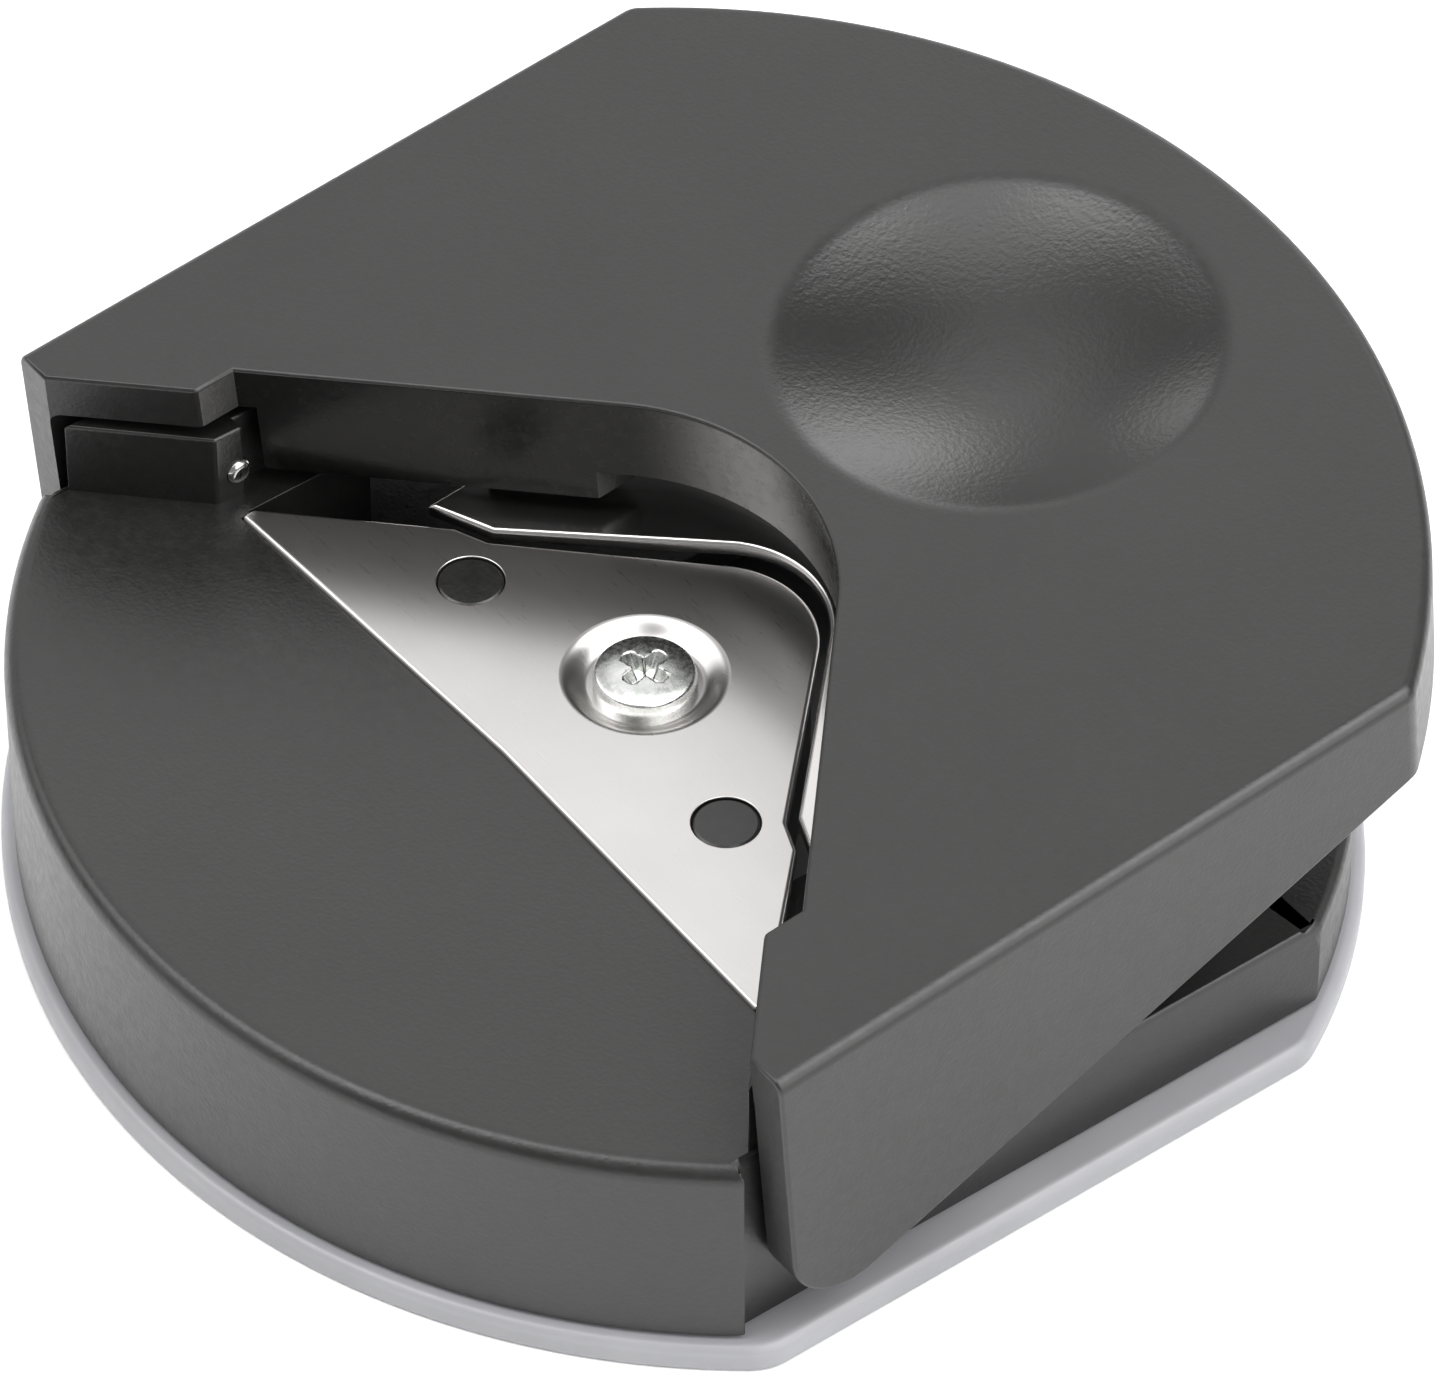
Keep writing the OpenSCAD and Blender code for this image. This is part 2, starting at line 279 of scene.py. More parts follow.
def round_edges(obj, width, weight, angle=28, segments=3):
    """Rounds the sharp outer edges. weight gives an edge's share of the width from its middle."""
    bm = bmesh.new()
    bm.from_mesh(obj.data)
    layer = bm.edges.layers.float.new("bevel_weight_edge")
    limit = math.radians(angle)
    for edge in bm.edges:
        if len(edge.link_faces) == 2 and edge.calc_face_angle_signed(0) > limit:
            edge[layer] = weight((edge.verts[0].co + edge.verts[1].co) / 2)
    bm.to_mesh(obj.data)
    bm.free()
    mod = obj.modifiers.new("edges", "BEVEL")
    mod.limit_method = "WEIGHT"
    mod.width = width
    mod.segments = segments
    mod.use_clamp_overlap = False
    mod.miter_outer = "MITER_SHARP"
    apply_modifiers(obj)


def smooth(obj, angle=32):
    mesh = obj.data
    mesh.shade_smooth()
    mesh.set_sharp_from_angle(angle=math.radians(angle))
    mod = obj.modifiers.new("normals", "WEIGHTED_NORMAL")
    mod.keep_sharp = True
    mod.weight = 100
    apply_modifiers(obj)


def place(obj, body, materials, replaced, tilted=False):
    """Turns a finished piece from millimetres to metres and hangs it on its body."""
    if tilted:
        obj.data.transform(Matrix.Translation(PIVOT) @ Matrix.Rotation(REST_TILT, 4, "X")
                           @ Matrix.Translation(-PIVOT))
    obj.data.transform(Matrix.Scale(MM, 4))
    for material in materials:
        obj.data.materials.append(material)
    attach(obj, body)
    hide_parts(replaced)


# ---------------------------------------------------------------- outlines

def plan(half, inset_by, front_corner, rear_corner):
    """Outline of tray and base: front and rear arcs between straight sides, with rounded corners."""
    fr, rr = FRONT_R - inset_by, REAR_R - inset_by
    fx, rx = half - front_corner, half - rear_corner
    fy = FRONT_C - math.sqrt((fr - front_corner) ** 2 - fx ** 2)
    ry = REAR_C + math.sqrt((rr - rear_corner) ** 2 - rx ** 2)
    fa = math.degrees(math.atan2(fy - FRONT_C, fx))
    ra = math.degrees(math.atan2(ry - REAR_C, rx))
    right = arc(0, FRONT_C, fr, -90, fa, 40)[1:-1]
    right += arc(fx, fy, front_corner, fa, 0, 8)
    right += arc(rx, ry, rear_corner, 0, ra, 8)
    right += arc(0, REAR_C, rr, ra, 90, 36)[1:-1]
    left = [(-x, y) for x, y in reversed(right)]
    return [(0, FRONT_C - fr)] + right + [(0, REAR_C + rr)] + left


def cover_plan(d, corner):
    half, r = COVER_HALF - d, COVER_REAR_R - d
    cx = half - corner
    cy = COVER_REAR_C + math.sqrt((r - corner) ** 2 - cx ** 2)
    a = math.degrees(math.atan2(cy - COVER_REAR_C, cx))
    right = [(half, TIP_Y - 6)] + arc(cx, cy, corner, 0, a, 8) + arc(0, COVER_REAR_C, r, a, 90, 40)[1:-1]
    left = [(-x, y) for x, y in reversed(right)]
    return right + [(0, COVER_REAR_C + r)] + left


def vee(c, m, r, x_end):
    """Points from left to right along y = c - m |x| with the point rounded to radius r."""
    k = math.sqrt(1 + m * m)
    half = math.degrees(math.atan(m))
    points = arc(0, c - r * k, r, 90 + half, 90 - half, 36)
    return [(-x_end, c - m * x_end)] + points + [(x_end, c - m * x_end)]


def in_front(c, m, r):
    """Everything in front of a rounded vee, counter-clockwise."""
    return list(reversed(vee(c, m, r, BIG)))


# ---------------------------------------------------------------- materials

class Shader:
    """A small helper that wires procedural nodes in object coordinates."""

    def __init__(self, name):
        self.material = bpy.data.materials.new(name)
        self.material.use_nodes = True
        self.tree = self.material.node_tree
        self.bsdf = self.tree.nodes["Principled BSDF"]
        self.coords = self.tree.nodes.new("ShaderNodeTexCoord").outputs["Object"]

    def link(self, a, b):
        self.tree.links.new(a, b)

    def node(self, kind, **settings):
        made = self.tree.nodes.new(kind)
        for key, value in settings.items():
            setattr(made, key, value)
        return made

    def stretched(self, scale):
        mapping = self.node("ShaderNodeMapping")
        mapping.inputs["Scale"].default_value = scale
        self.link(self.coords, mapping.inputs["Vector"])
        return mapping.outputs["Vector"]

    def noise(self, scale, detail=4.0, rough=0.55, vector=None):
        made = self.node("ShaderNodeTexNoise")
        made.inputs["Scale"].default_value = scale
        made.inputs["Detail"].default_value = detail
        made.inputs["Roughness"].default_value = rough
        self.link(vector or self.coords, made.inputs["Vector"])
        return made.outputs["Fac"]

    def ramp(self, value, stops):
        made = self.node("ShaderNodeValToRGB")
        elements = made.color_ramp.elements
        while len(elements) < len(stops):
            elements.new(0.5)
        for element, (position, colour) in zip(elements, stops):
            element.position = position
            element.color = (*colour, 1)
        self.link(value, made.inputs["Fac"])
        return made.outputs["Color"]

    def span(self, value, low, high, from_low=0.0, from_high=1.0, smooth_step=False):
        made = self.node("ShaderNodeMapRange")
        if smooth_step:
            made.interpolation_type = "SMOOTHSTEP"
        made.inputs["From Min"].default_value = from_low
        made.inputs["From Max"].default_value = from_high
        made.inputs["To Min"].default_value = low
        made.inputs["To Max"].default_value = high
        self.link(value, made.inputs["Value"])
        return made.outputs["Result"]

    def math(self, operation, a, b):
        made = self.node("ShaderNodeMath", operation=operation)
        for i, value in enumerate((a, b)):
            if isinstance(value, (int, float)):
                made.inputs[i].default_value = value
            else:
                self.link(value, made.inputs[i])
        return made.outputs[0]

    def mix(self, factor, a, b):
        made = self.node("ShaderNodeMixRGB", blend_type="MIX")
        for name, value in (("Fac", factor), ("Color1", a), ("Color2", b)):
            if isinstance(value, (int, float)):
                made.inputs[name].default_value = value
            elif isinstance(value, tuple):
                made.inputs[name].default_value = (*value, 1)
            else:
                self.link(value, made.inputs[name])
        return made.outputs["Color"]

    def bump(self, height, strength, distance, normal=None):
        made = self.node("ShaderNodeBump")
        made.inputs["Strength"].default_value = strength
        made.inputs["Distance"].default_value = distance
        self.link(height, made.inputs["Height"])
        if normal:
            self.link(normal, made.inputs["Normal"])
        return made.outputs["Normal"]

    def near(self, centre, inner, outer):
        """1 within the inner distance of a point, falling to 0 at the outer distance."""
        made = self.node("ShaderNodeVectorMath", operation="DISTANCE")
        self.link(self.coords, made.inputs[0])
        made.inputs[1].default_value = centre
        return self.span(made.outputs["Value"], 1.0, 0.0, inner, outer, True)

    def wire(self, **outputs):
        for name, value in outputs.items():
            target = self.bsdf.inputs[name.replace("_", " ")]
            if isinstance(value, (int, float)):
                target.default_value = value
            elif isinstance(value, tuple):
                target.default_value = (*value, 1)
            else:
                self.link(value, target)
        return self.material


def moulded_black(name, dark, light, rough_low, rough_high, grain, polished=None):
    """Fine-grained moulded plastic. polished is a point, two distances and a roughness."""
    s = Shader(name)
    s.bsdf.inputs["IOR"].default_value = 1.55
    cloud = s.noise(160, 3, 0.5)
    mottle = s.noise(2600, 3, 0.6)
    tone = s.math("ADD", s.math("MULTIPLY", cloud, 0.45), s.math("MULTIPLY", mottle, 0.55))
    colour = s.ramp(tone, [(0.3, dark), (0.7, light)])
    rough = s.span(s.noise(1900, 4, 0.6), rough_low, rough_high, 0.3, 0.7)
    # handling leaves broad, faint differences in gloss
    rough = s.math("ADD", rough, s.span(s.noise(42, 2, 0.5), -0.035, 0.035, 0.35, 0.65))
    normal = s.bump(s.noise(5200, 2, 0.5), grain, 0.00002)
    if polished:
        centre, inner, outer, gloss = polished
        mask = s.near(centre, inner, outer)
        rough = s.mix(mask, rough, (gloss, gloss, gloss))
        peel = s.math("MULTIPLY", s.noise(3600, 3, 0.6), mask)
        normal = s.bump(peel, 0.36, 0.00004, normal)
    return s.wire(Base_Color=colour, Roughness=rough, Normal=normal)


def steel(name, colour, rough_low, rough_high, across, brush=0.05):
    """Sheet steel with rolling lines along one direction."""
    s = Shader(name)
    lines = s.noise(1.0, 4, 0.6, s.stretched(across))
    patches = s.noise(220, 3, 0.5)
    tint = s.ramp(patches, [(0.3, tuple(0.94 * c for c in colour)), (0.7, colour)])
    rough = s.span(lines, rough_low, rough_high, 0.25, 0.75)
    normal = s.bump(lines, brush, 0.00001)
    return s.wire(Base_Color=tint, Metallic=1.0, Roughness=rough, Normal=normal)


dimple_middle = Matrix.Rotation(REST_TILT, 4, "X") @ (Vector((0, DIMPLE_Y, COVER_TOP)) - PIVOT) + PIVOT
DIMPLE_AT = tuple(dimple_middle * MM)

BLACK_DARK, BLACK_LIGHT = (0.0070, 0.0068, 0.0065), (0.0110, 0.0107, 0.0103)
DIMPLE_POLISH = (DIMPLE_AT, 0.0090, 0.0100, 0.24)

cover_black = moulded_black("cover_black", BLACK_DARK, BLACK_LIGHT, 0.33, 0.43, 0.6, DIMPLE_POLISH)
gloss_black = moulded_black("gloss_black", (0.0040, 0.0038, 0.0036), (0.0062, 0.0060, 0.0056),
                            0.20, 0.30, 0.2)
base_black = moulded_black("base_black", BLACK_DARK, BLACK_LIGHT, 0.30, 0.40, 0.7)
holder_black = moulded_black("holder_black", (0.0055, 0.0055, 0.0055), (0.0090, 0.0090, 0.0090),
                             0.4, 0.5, 0.3)
die_steel = steel("die_steel", (0.57, 0.556, 0.547), 0.27, 0.295, (420, 9000, 420), brush=0.005)
punch_steel = steel("punch_steel", (0.64, 0.625, 0.615), 0.19, 0.22, (420, 9000, 420), brush=0.005)
pin_steel = steel("pin_steel", (0.55, 0.55, 0.54), 0.14, 0.24, (400, 7000, 7000))
spring_steel = steel("spring_steel", (0.60, 0.60, 0.60), 0.2, 0.34, (2500, 2500, 5200))


def zinc_plate(name):
    """Bright zinc with faint passivation clouds."""
    s = Shader(name)
    clouds = s.noise(1500, 3, 0.55)
    tint = s.ramp(clouds, [(0.32, (0.56, 0.58, 0.545)), (0.5, (0.65, 0.66, 0.645)),
                           (0.68, (0.72, 0.715, 0.71))])
    rough = s.span(s.noise(3800, 3, 0.6), 0.20, 0.34, 0.3, 0.7)
    normal = s.bump(s.noise(4200, 3, 0.6), 0.25, 0.00002)
    return s.wire(Base_Color=tint, Metallic=1.0, Roughness=rough, Normal=normal)


screw_zinc = zinc_plate("screw_zinc")


def frosted(name):
    """Clear-grey translucent plastic with a light frost."""
    s = Shader(name)
    tint = s.ramp(s.noise(140, 3, 0.5), [(0.3, (0.43, 0.43, 0.455)), (0.7, (0.49, 0.49, 0.515))])
    rough = s.span(s.noise(2200, 4, 0.6), 0.28, 0.40, 0.3, 0.7)
    normal = s.bump(s.noise(3600, 3, 0.55), 0.2, 0.00002)
    s.bsdf.inputs["IOR"].default_value = 1.49
    return s.wire(Base_Color=tint, Roughness=rough, Normal=normal, Transmission_Weight=0.35)


tray_frost = frosted("tray_translucent")


# ---------------------------------------------------------------- waste tray

def waste_tray():
    half = BASE_HALF - BASE_WALL - 0.3
    edge = BASE_STEP + BASE_WALL + 0.3
    tray = prism("waste_tray_shell", plan(TRAY_HALF, 0, 2.6, 2.2), 0, FLANGE_T, top=0.5, bottom=0.25)
    add(tray, prism("wall", plan(half, edge, 1.5, 1.2), 0.5, TRAY_WALL_Z, top=0.2))
    cut(tray, prism("hollow", plan(half - 1.2, edge + 1.2, 1.0, 0.8), 1.0, 10, bottom=0.5))
    clean(tray)
    smooth(tray)
    place(tray, "tray", [tray_frost], "waste_tray")


# ---------------------------------------------------------------- base

def both(maker):
    """A piece and its mirror image."""
    right, left = maker(), maker()
    left.data.transform(Matrix.Scale(-1, 4, (1, 0, 0)))
    left.data.flip_normals()
    return right, left


def stud(name, x, y, r, z0, z1, chamfer, chamfer_z):
    return lathe(name, [(0, z0), (r, z0), (r, z1 - chamfer_z), (r - chamfer, z1), (0, z1)], x, y, 48)


def guide():
    loop = [(GUIDE_IN, GUIDE_C - GUIDE_IN), (GUIDE_OUT, GUIDE_C - GUIDE_OUT), (GUIDE_OUT, GUIDE_BACK),
            (GUIDE_IN + 0.7, GUIDE_BACK), (GUIDE_IN + 0.7, PIVOT.y + 0.3), (GUIDE_IN, PIVOT.y + 0.3)]
    solid = prism("guide", loop, TABLE_Z - 0.5, GUIDE_Z)
    return cut(solid, rod_x("pin_hole", GUIDE_IN - 5, GUIDE_OUT + 5, PIVOT.y, PIVOT.z, 0.61))


def base_body():
    outline = plan(FRONT_HALF, BASE_STEP, 0.9, 1.6)
    table = prism("base_shell", outline, BASE_Z, TABLE_Z, top=0.85, bottom=0.1)
    raised = prism("raised", in_front(BACK_C, 1, BACK_R), -5, 30)
    add(raised, *both(lambda: block("shoulder", SHOULDER_X, 30, -30, -4, -5, 30)),
        *both(lambda: block("ear_seat", EAR_X, SHOULDER_X + 1, -31, DIE_KINK_Y, -6, 31)))
    combine(table, "INTERSECT", raised)
    add(table, prism("deck", outline, BASE_Z, DECK_Z, top=0.45, bottom=0.1))
    cut(table, *both(lambda: block("skirt_room", BASE_HALF, 30, FRONT_BACK, 41, -5, 40)))
    inner = plan(BASE_HALF - BASE_WALL, BASE_STEP + BASE_WALL, 1.2, 1.2)
    cut(table, prism("low_room", inner, -1, DECK_Z - 1.6))
    room = prism("high_room", inner, DECK_Z - 2, TABLE_Z - 2)
    combine(room, "INTERSECT",
            prism("front_part", in_front(BACK_C - BASE_WALL * math.sqrt(2), 1, 1.0), -5, 30))
    cut(room, cylinder("boss_room", 0, SCREW_Y, 0, 20, 3.8),
        *both(lambda: block("side_room", GUIDE_IN - 1, 30, -40, 0, 0, 20)))
    cut(table, room)
    chute = block("chute", -CHUTE_HALF, CHUTE_HALF, CHUTE_FRONT, CHUTE_REAR, 0, TABLE_Z + 1)
    cut(chute, prism("chute_front", in_front(BACK_C, 1, BACK_R), -5, 30))
    cut(table, chute)
    cut(table, prism("plate_seat", die_outline(0.015), DIE_TOP - DIE_T - 0.02, 20))
    add(table, cylinder("screw_boss", 0, SCREW_Y, SCREW_BOSS_LOW, SCREW_BOSS_TOP, SCREW_BOSS_R))
    add(table, *both(guide))
    add(table, *both(lambda: stud("peg", PEG_X, PEG_Y, PEG_R, TABLE_Z - 1.5, DIE_TOP - 0.05, 0.1, 0.07)))
    add(table, *both(lambda: stud("post", SPRING_X, SPRING_Y, POST_R, DECK_Z - 0.5, DECK_Z + 2, 0.3, 0.3)))
    cut(table, cylinder("dish_room", 0, SCREW_Y, DIE_TOP - DISH_D - DIE_T - 0.05, 20, DISH_R + 0.7),
        cylinder("screw_hole", 0, SCREW_Y, SCREW_BOSS_LOW + 0.4, 20, 1.1))
    clean(table)
    round_edges(table, 0.3, base_edge)
    smooth(table)
    place(table, "base", [base_black], "base_body")


def base_edge(middle):
    """Guide blocks and deck edges are rounded; the pin holes, pegs and seat stay crisp."""
    if middle.z < DECK_Z - 0.7 or math.hypot(middle.x, middle.y - SCREW_Y) < 4.5:
        return 0.0
    if abs(abs(middle.x) - PEG_X) < 1.6 and abs(middle.y - PEG_Y) < 1.6:
        return 0.0
    if abs(middle.y - PIVOT.y) < 0.7 and abs(middle.z - PIVOT.z) < 0.7:
        return 0.0
    if abs(middle.z - TABLE_Z) < 0.1 and middle.y > DIE_FRONT_Y - 0.3 and abs(middle.x) < DIE_TIP_X + 0.2:
        return 0.0
    if abs(abs(middle.x) - BASE_HALF) < 0.02:
        return 1.0
    if middle.z > TABLE_Z + 0.1 and abs(middle.x) > GUIDE_IN - 0.1:
        return 0.5
    return 0.25


# ---------------------------------------------------------------- die plate and screw

def slant_y(x):
    """The slanting side of the punch plate."""
    return PUNCH_C - SLANT_X - SLANT_M * (x - SLANT_X)


def die_outline(g):
    """Outline of the die plate grown by g, counter-clockwise."""
    tip = DIE_TIP_X + g
    c, r = DIE_C + g * math.sqrt(2), DIE_R + g
    side_y = slant_y(STEP_X) - (SHEAR_GAP - g) * math.hypot(1, SLANT_M)
    # where the cutting line meets the step that follows the punch's slant
    meet = (c - side_y - SLANT_M * STEP_X) / (1 - SLANT_M)
    right = [(tip, DIE_FRONT_Y - g), (tip, side_y - (tip - STEP_X)), (STEP_X, side_y), (meet, c - meet)]
    right += arc(0, c - r * math.sqrt(2), r, 45, 90, 20)[:-1]
    left = [(-x, y) for x, y in reversed(right)]
    return right + [(0, c - r * math.sqrt(2) + r)] + left + [(0, DIE_KINK_Y - g)]


def plate_edge(middle):
    """The outline is rounded by the press, the peg holes less; the dish joins on without an edge."""
    if math.hypot(middle.x, middle.y - SCREW_Y) < DISH_RIM + 0.1:
        return 0.0
    return 0.25 if math.hypot(abs(middle.x) - PEG_X, middle.y - PEG_Y) < PEG_R + 0.2 else 1.0


def die_plate():
    plate = prism("die_plate_pressed", die_outline(0), DIE_TOP - DIE_T, DIE_TOP)
    cut(plate, *both(lambda: cylinder("peg_hole", PEG_X, PEG_Y, 0, 20, PEG_R + 0.06, 48)))
    cut(plate, cylinder("dish_hole", 0, SCREW_Y, 0, 20, DISH_RIM, 96))
    clean(plate)
    round_edges(plate, 0.2, plate_edge)
    # pressed dish with a soft rim
    steps = 14
    upper = []
    for i in range(steps + 1):
        t = i / steps
        upper.append((DISH_RIM + (2.42 - DISH_RIM) * t, DIE_TOP - DISH_D * (t * t * (3 - 2 * t))))
    profile = [(1.3, upper[-1][1] - DIE_T), (2.2, upper[-1][1] - DIE_T)]
    profile += [(r - 0.25 if r > 2.6 else r, z - DIE_T) for r, z in reversed(upper[1:-1])]
    profile += [(DISH_RIM, DIE_TOP - DIE_T), (DISH_RIM, DIE_TOP)] + upper[1:] + [(1.3, upper[-1][1])]
    dish = lathe("dish", profile + [profile[0]], 0, SCREW_Y, 96)
    bm = bmesh.new()
    bm.from_mesh(plate.data)
    bm.from_mesh(dish.data)
    bpy.data.objects.remove(dish)
    bm.to_mesh(plate.data)
    bm.free()
    smooth(plate, 40)
    place(plate, "base", [die_steel], "die_plate")


def cross(name, size, width, depth, z):
    """A cross-shaped tool with tapering, round-ended wings."""
    wings = []
    for turn in (0, math.pi / 2):
        reach, r = (size - width) / 2, width / 2
        loop = arc(reach, 0, r, -90, 90, 8) + arc(-reach, 0, r, 90, 270, 8)
        wing = prism(name, loop, z - depth, z + 0.6)
        for v in wing.data.vertices:
            if v.co.z < z - depth + 0.01:
                v.co.x *= 0.45
                v.co.y *= 0.55
        wing.data.transform(Matrix.Rotation(turn, 4, "Z"))
        wings.append(wing)
    return add(wings[0], wings[1])


def die_screw():
    seat = DIE_TOP - DISH_D
    top = screw_high.z
    head = [(0, seat), (2.2, seat)]
    head += [(2.2 - 0.12 * (1 - math.cos(a)), seat + 0.5 + 0.12 * math.sin(a)) for a in (0, 0.3, 0.6)]
    head += [(r, seat + 0.62 + 0.46 * math.sqrt(1 - (r / 2.25) ** 2.6))
             for r in (2.13, 2.0, 1.8, 1.5, 1.2, 0.8, 0.4)]
    head += [(0, top - 0.01)]
    screw = lathe("die_screw_head", head, 0, SCREW_Y, 96)
    add(screw, cylinder("shank", 0, SCREW_Y, seat - 6.2, seat + 0.1, 1.05, 48))
    recess = cross("recess", 3.2, 0.84, 0.75, top)
    hub = lathe("hub", [(0, top - 0.9), (0.32, top - 0.75), (0.62, top + 0.3), (0, top + 0.3)], 0, 0, 32)
    add(recess, hub)
    recess.data.transform(Matrix.Translation((0, SCREW_Y, 0)) @ Matrix.Rotation(math.radians(12), 4, "Z"))
    cut(screw, recess)
    clean(screw, 0.002)
    round_edges(screw, 0.07, lambda middle: 1.0 if middle.z > seat + 0.7 else 0.0, segments=2)
    smooth(screw, 40)
    place(screw, "base", [screw_zinc], "die_screw")


# ---------------------------------------------------------------- cover

def touch(p, c, r, side):
    """Angle in degrees at which the line from p touches the circle round c, on one side of it."""
    d = p - c
    return math.degrees(math.atan2(d.y, d.x) + side * math.acos(r / d.length))


def skirt_profile():
    """Side view of the skirts in Y and Z, counter-clockwise."""
    a_front = touch(Vector((TIP_Y, COVER_TOP)), LOBE, LOBE_R, 1)
    a_rear = touch(SKIRT_REAR, LOBE, LOBE_R, -1)
    if a_rear < a_front:
        a_rear += 360
    lobe = arc(LOBE.x, LOBE.y, LOBE_R, a_front, a_rear, 24)
    return lobe + [tuple(SKIRT_REAR), (50, SKIRT_REAR.y), (50, COVER_TOP + 5), (TIP_Y - 0.15, COVER_TOP + 5)]


def dimple_tool():
    """The thumb dimple: a ball with a softly rounded rim."""
    ball = (DIMPLE_R ** 2 + DIMPLE_D ** 2) / (2 * DIMPLE_D)
    soft = 2.4
    # the rim's rounding touches the ball and the flat top
    meet = math.acos((ball - DIMPLE_D + soft) / (ball + soft))
    profile = []
    for i in range(17):
        a = meet * i / 16
        profile.append((ball * math.sin(a), COVER_TOP - DIMPLE_D + ball * (1 - math.cos(a))))
    rim = (ball + soft) * math.sin(meet)
    for i in range(1, 9):
        a = meet * (1 - i / 8)
        profile.append((rim - soft * math.sin(a), COVER_TOP - soft + soft * math.cos(a)))
    profile += [(rim + 0.001, COVER_TOP + 2), (0, COVER_TOP + 2)]
    return lathe("dimple", profile, 0, DIMPLE_Y, 144)


def top_cover():
    cover = prism("top_cover_shell", cover_plan(0, 1.1), -2, COVER_TOP, top=0.6, steps=7)
    combine(cover, "INTERSECT", prism_x("profile", skirt_profile(), -40, 40))
    cut(cover, prism("inside", cover_plan(SKIRT_T, 0.9), -4, COVER_UNDER, top=0.5))
    k = math.sqrt(1 + NOTCH_M ** 2)
    wall = prism("wall", in_front(NOTCH_C + VWALL_T * k, NOTCH_M, NOTCH_R + VWALL_T), VWALL_Z, COVER_TOP - 1)
    combine(wall, "INTERSECT", block("wall_room", -VWALL_X, VWALL_X, TIP_Y + 1, BIG, 0, 30))
    cut(wall, block("wall_step", -8.4, 8.4, -5, 12, 0, VWALL_APEX_Z))
    add(cover, wall)
    under = COVER_UNDER - DIMPLE_D
    add(cover, lathe("pad", [(0, under), (DIMPLE_R + 0.7, under), (DIMPLE_R + 1.2, under + 0.5),
                             (DIMPLE_R + 1.2, COVER_UNDER + 0.5), (0, COVER_UNDER + 0.5)], 0, DIMPLE_Y, 96))
    add(cover, *both(lambda: cylinder("boss", BOSS_X, BOSS_Y, 13.8, COVER_UNDER + 0.5, BOSS_R, 48)))
    post_z = (COVER_UNDER - 1.8, COVER_UNDER + 0.5)
    add(cover, *both(lambda: cylinder("post", SPRING_X, SPRING_Y, *post_z, POST_R, 48)))
    notch = prism("notch", in_front(NOTCH_C, NOTCH_M, NOTCH_R), -5, 30)
    combine(notch, "INTERSECT", block("notch_room", -JOG_X, JOG_X, -BIG, BIG, -6, 40))
    arms = prism("arms_notch", in_front(NOTCH_OUT_C, NOTCH_M, 1.0), -5.5, 31)
    cut(arms, block("point_room", -JOG_X / 2, JOG_X / 2, -JOG_X, BIG, -6, 40))
    add(notch, arms)
    cut(cover, notch, dimple_tool())
    bore = (COVER_HALF - SKIRT_T - 3, COVER_HALF - 0.55)
    cut(cover, *both(lambda: rod_x("pin_bore", *bore, PIVOT.y, PIVOT.z, 0.65)),
        *both(lambda: cylinder("screw_bore", BOSS_X, BOSS_Y, 0, COVER_UNDER - 0.2, 0.91, 32)))
    clean(cover)
    round_edges(cover, 0.18, cover_edge)
    polish_notch(cover)
    smooth(cover)
    place(cover, "lever", [cover_black, gloss_black], "top_cover", tilted=True)


def cover_edge(middle):
    """Whether a sharp edge of the cover is rounded: its outline seen from above and from the sides."""
    behind = math.hypot(middle.x, middle.y - COVER_REAR_C) > COVER_REAR_R - 0.7
    outer = abs(middle.x) > COVER_HALF - 0.7 or behind
    tip = middle.y < TIP_Y + 0.1 and abs(middle.x) > COVER_HALF - SKIRT_T - 0.5 and middle.z > COVER_TOP - 0.1
    notch = middle.z > COVER_TOP - 0.02 and middle.y < DIMPLE_Y - DIMPLE_R - 1.2
    jog = abs(abs(middle.x) - JOG_X) < 0.05 and abs(middle.y - NOTCH_OUT_C + NOTCH_M * JOG_X) < 0.05
    bore = math.hypot(middle.y - PIVOT.y, middle.z - PIVOT.z) < 0.9
    return 1.0 if (outer or tip or notch or jog) and not bore else 0.0


def polish_notch(obj):
    """The polished wall of the notch takes the second material."""
    obj.data.materials.clear()
    for face in obj.data.polygons:
        c, n = face.center, face.normal
        wall = abs(n.z) < 0.3 and n.y < -0.2 and abs(c.x) < VWALL_X and c.z > VWALL_Z - 0.2
        edge = NOTCH_C - NOTCH_M * abs(c.x)
        # the rounded point lies in front of the straight sides' line
        near = edge - 3.6 < c.y < NOTCH_C if abs(c.x) < 9 else abs(c.y - edge) < 0.6
        face.material_index = int(wall and near)


# ---------------------------------------------------------------- punch

def punch_plate():
    right = [(9.6, slant_y(9.6)), (PUNCH_HALF, slant_y(PUNCH_HALF)), (PUNCH_HALF, PUNCH_REAR)]
    left = [(-x, y) for x, y in reversed(right)]
    plate = prism("punch_plate_blade", right + left, PUNCH_Z, PUNCH_Z + PUNCH_T)
    cut(plate, prism("edge", in_front(PUNCH_C, 1, PUNCH_R), 0, 30),
        *both(lambda: cylinder("hole", BOSS_X, BOSS_Y, 0, 30, 1.0, 32)))
    clean(plate)
    round_edges(plate, 0.22, lambda middle: 1.0 if middle.z > PUNCH_Z + 0.4 else 0.3)
    smooth(plate, 40)
    place(plate, "lever", [punch_steel], "punch_plate", tilted=True)


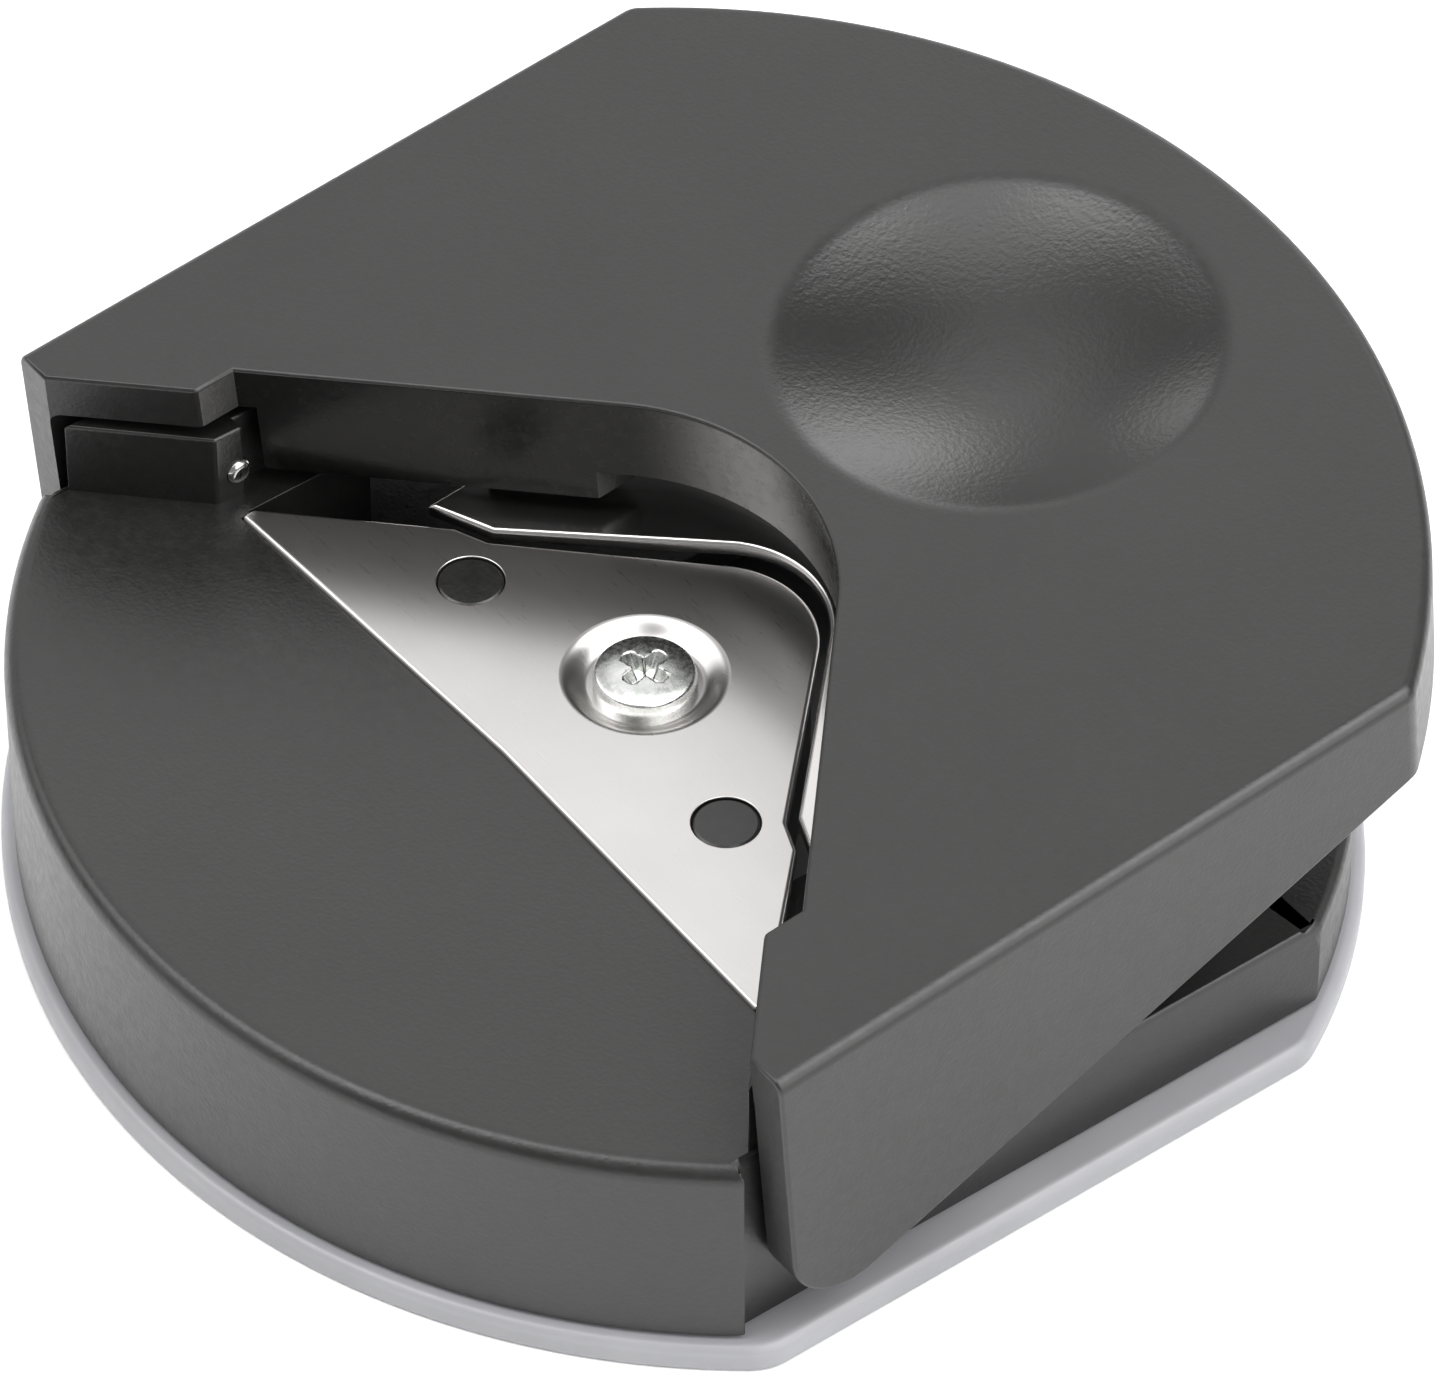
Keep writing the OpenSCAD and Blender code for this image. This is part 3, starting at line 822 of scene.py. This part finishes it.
def hinge_pins():
    """Ground steel pins with domed ends."""
    inner, outer, r, dome = pins_high.x - 6.8, pins_high.x, (pins_high.z - pins_low.z) / 2, 0.3
    end = [(r - dome * (1 - math.cos(a)), dome * (1 - math.sin(a))) for a in np.linspace(0, math.pi / 2, 7)]
    profile = [(0, inner)] + [(d, inner + h) for d, h in reversed(end)]
    profile += [(d, outer - h) for d, h in end] + [(0, outer)]

    def pin():
        rod = lathe("hinge_pins_ground", profile, 0, 0, 48)
        rod.data.transform(Matrix.Translation((0, PIVOT.y, PIVOT.z)) @ Matrix.Rotation(math.pi / 2, 4, "Y"))
        return rod

    pins = add(*both(pin))
    smooth(pins, 50)
    place(pins, "base", [pin_steel], "hinge_pins")


def return_spring(node):
    """A compression spring with closed end turns, built at its resting length; the real spring shortens as
    the lever goes down.
    """
    low, high = box_mm(node)
    wire = 0.3
    x, y, r = (low.x + high.x) / 2, (low.y + high.y) / 2, (high.x - low.x) / 2 - wire
    turns, closed, steps, sides = 7.5, 1.0, 44, 14
    # each end turn climbs by a little over one wire thickness, the free turns share the rest
    end_climb = 2.05 * wire
    free = (high.z - low.z - 2 * wire - 2 * closed * end_climb) / (turns - 2 * closed)
    verts = []
    count = int(turns * steps)
    for i in range(count + 1):
        t = i / steps
        z = low.z + wire + end_climb * (min(t, closed) + max(0.0, t - turns + closed))
        z += free * min(max(0.0, t - closed), turns - 2 * closed)
        a = 2 * math.pi * t
        for k in range(sides):
            b = 2 * math.pi * k / sides
            d = r + wire * math.cos(b)
            verts.append((x + d * math.cos(a), y + d * math.sin(a), z + wire * math.sin(b)))
    faces = []
    for i in range(count):
        a, b = i * sides, (i + 1) * sides
        faces += [(a + k, b + k, b + (k + 1) % sides, a + (k + 1) % sides) for k in range(sides)]
    faces += [tuple(range(sides)), tuple(reversed(range(count * sides, (count + 1) * sides)))]
    spring = make(node + "_wire", verts, faces)
    smooth(spring, 50)
    place(spring, "base", [spring_steel], node)
    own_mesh(spring)


waste_tray()
base_body()
hinge_pins()
die_plate()
die_screw()
top_cover()
punch_plate()
return_spring("return_spring_left")
return_spring("return_spring_right")

for node, material in (("punch_screws", spring_steel), ("punch_holder", holder_black)):
    for entry in frame["nodes"][node].material_slots:
        entry.material = material

# ---------------------------------------------------------------- stage, light and camera


def floor():
    plane = make("floor", [(-8, -8, 0), (8, -8, 0), (8, 8, 0), (-8, 8, 0)], [(0, 1, 2, 3)])
    s = Shader("floor_white")
    tint = s.ramp(s.noise(6, 2, 0.5), [(0.3, (0.90, 0.90, 0.90)), (0.7, (0.92, 0.92, 0.92))])
    plane.data.materials.append(s.wire(Base_Color=tint, Roughness=0.9))


# The studio round the object: soft panels. Each has an azimuth and elevation in degrees, the angles from its
# middle at which it is still full and has faded out, and its brightness. Azimuth 0 is +X and 90 is +Y.
FILL = 0.33
PANELS = [
    (131, 27, 3, 14, 3.2),
    (129, 10, 3, 15, 1.2),
    (157, 12, 3, 15, 0.35),
    (146, 32, 4, 16, 0.7),
    (108, 31, 4, 15, 0.35),
    (176, 33, 4, 17, 0.2),
    (151, 50, 5, 19, 1.05),
    (196, 60, 6, 22, 0.3),
    (0, 90, 8, 26, 2.5),
    (95, 12, 6, 22, 0.2),
    (185, 10, 6, 22, 0.26),
    (245, 12, 6, 24, 0.35),
    (210, 36, 5, 22, 2.05),
    (240, 36, 5, 22, 0.7),
    (60, 60, 6, 24, 3.9),
    (240, 60, 6, 24, 4.85),
    (20, 40, 20, 42, 3),
    (167, 22, 2, 9, 2.2),
]


def surroundings():
    world = bpy.data.worlds.new("studio")
    world.use_nodes = True
    tree = world.node_tree

    def node(kind, operation=None):
        made = tree.nodes.new(kind)
        if operation:
            made.operation = operation
        return made

    way = tree.nodes.new("ShaderNodeTexCoord").outputs["Generated"]
    total = None
    for azimuth, elevation, full, faded, brightness in PANELS:
        a, e = math.radians(azimuth), math.radians(elevation)
        dot = node("ShaderNodeVectorMath", "DOT_PRODUCT")
        tree.links.new(way, dot.inputs[0])
        dot.inputs[1].default_value = (math.cos(a) * math.cos(e), math.sin(a) * math.cos(e), math.sin(e))
        panel = node("ShaderNodeMapRange")
        panel.interpolation_type = "SMOOTHSTEP"
        panel.inputs["From Min"].default_value = math.cos(math.radians(faded))
        panel.inputs["From Max"].default_value = math.cos(math.radians(full))
        panel.inputs["To Max"].default_value = brightness
        tree.links.new(dot.outputs["Value"], panel.inputs["Value"])
        summed = node("ShaderNodeMath", "ADD")
        tree.links.new(panel.outputs["Result"], summed.inputs[0])
        if total:
            tree.links.new(total, summed.inputs[1])
        else:
            summed.inputs[1].default_value = FILL
        total = summed.outputs[0]
    seen = node("ShaderNodeLightPath")
    pick = node("ShaderNodeMixRGB")
    pick.inputs["Color2"].default_value = (1, 1, 1, 1)
    tree.links.new(seen.outputs["Is Camera Ray"], pick.inputs["Fac"])
    tree.links.new(total, pick.inputs["Color1"])
    tree.links.new(pick.outputs["Color"], tree.nodes["Background"].inputs["Color"])
    bpy.context.scene.world = world


floor()
surroundings()

bpy.context.scene.view_settings.view_transform = "Standard"

CAMERA_AZ, CAMERA_EL = math.radians(52.93), math.radians(44.87)
CAMERA_DISTANCE = 0.4257
CAMERA_TARGET = Vector((-0.000147, 0.00117, 0.008))


def camera():
    data = bpy.data.cameras.new("camera")
    data.sensor_width = 36
    data.lens = 252.4
    data.clip_start = 0.01
    data.clip_end = 50
    cam = bpy.data.objects.new("camera", data)
    back = Vector((math.sin(CAMERA_AZ) * math.cos(CAMERA_EL), -math.cos(CAMERA_AZ) * math.cos(CAMERA_EL),
                   math.sin(CAMERA_EL)))
    cam.location = CAMERA_TARGET + back * CAMERA_DISTANCE
    cam.rotation_mode = "QUATERNION"
    cam.rotation_quaternion = back.to_track_quat("Z", "Y")
    bpy.context.scene.collection.objects.link(cam)
    bpy.context.scene.camera = cam


camera()
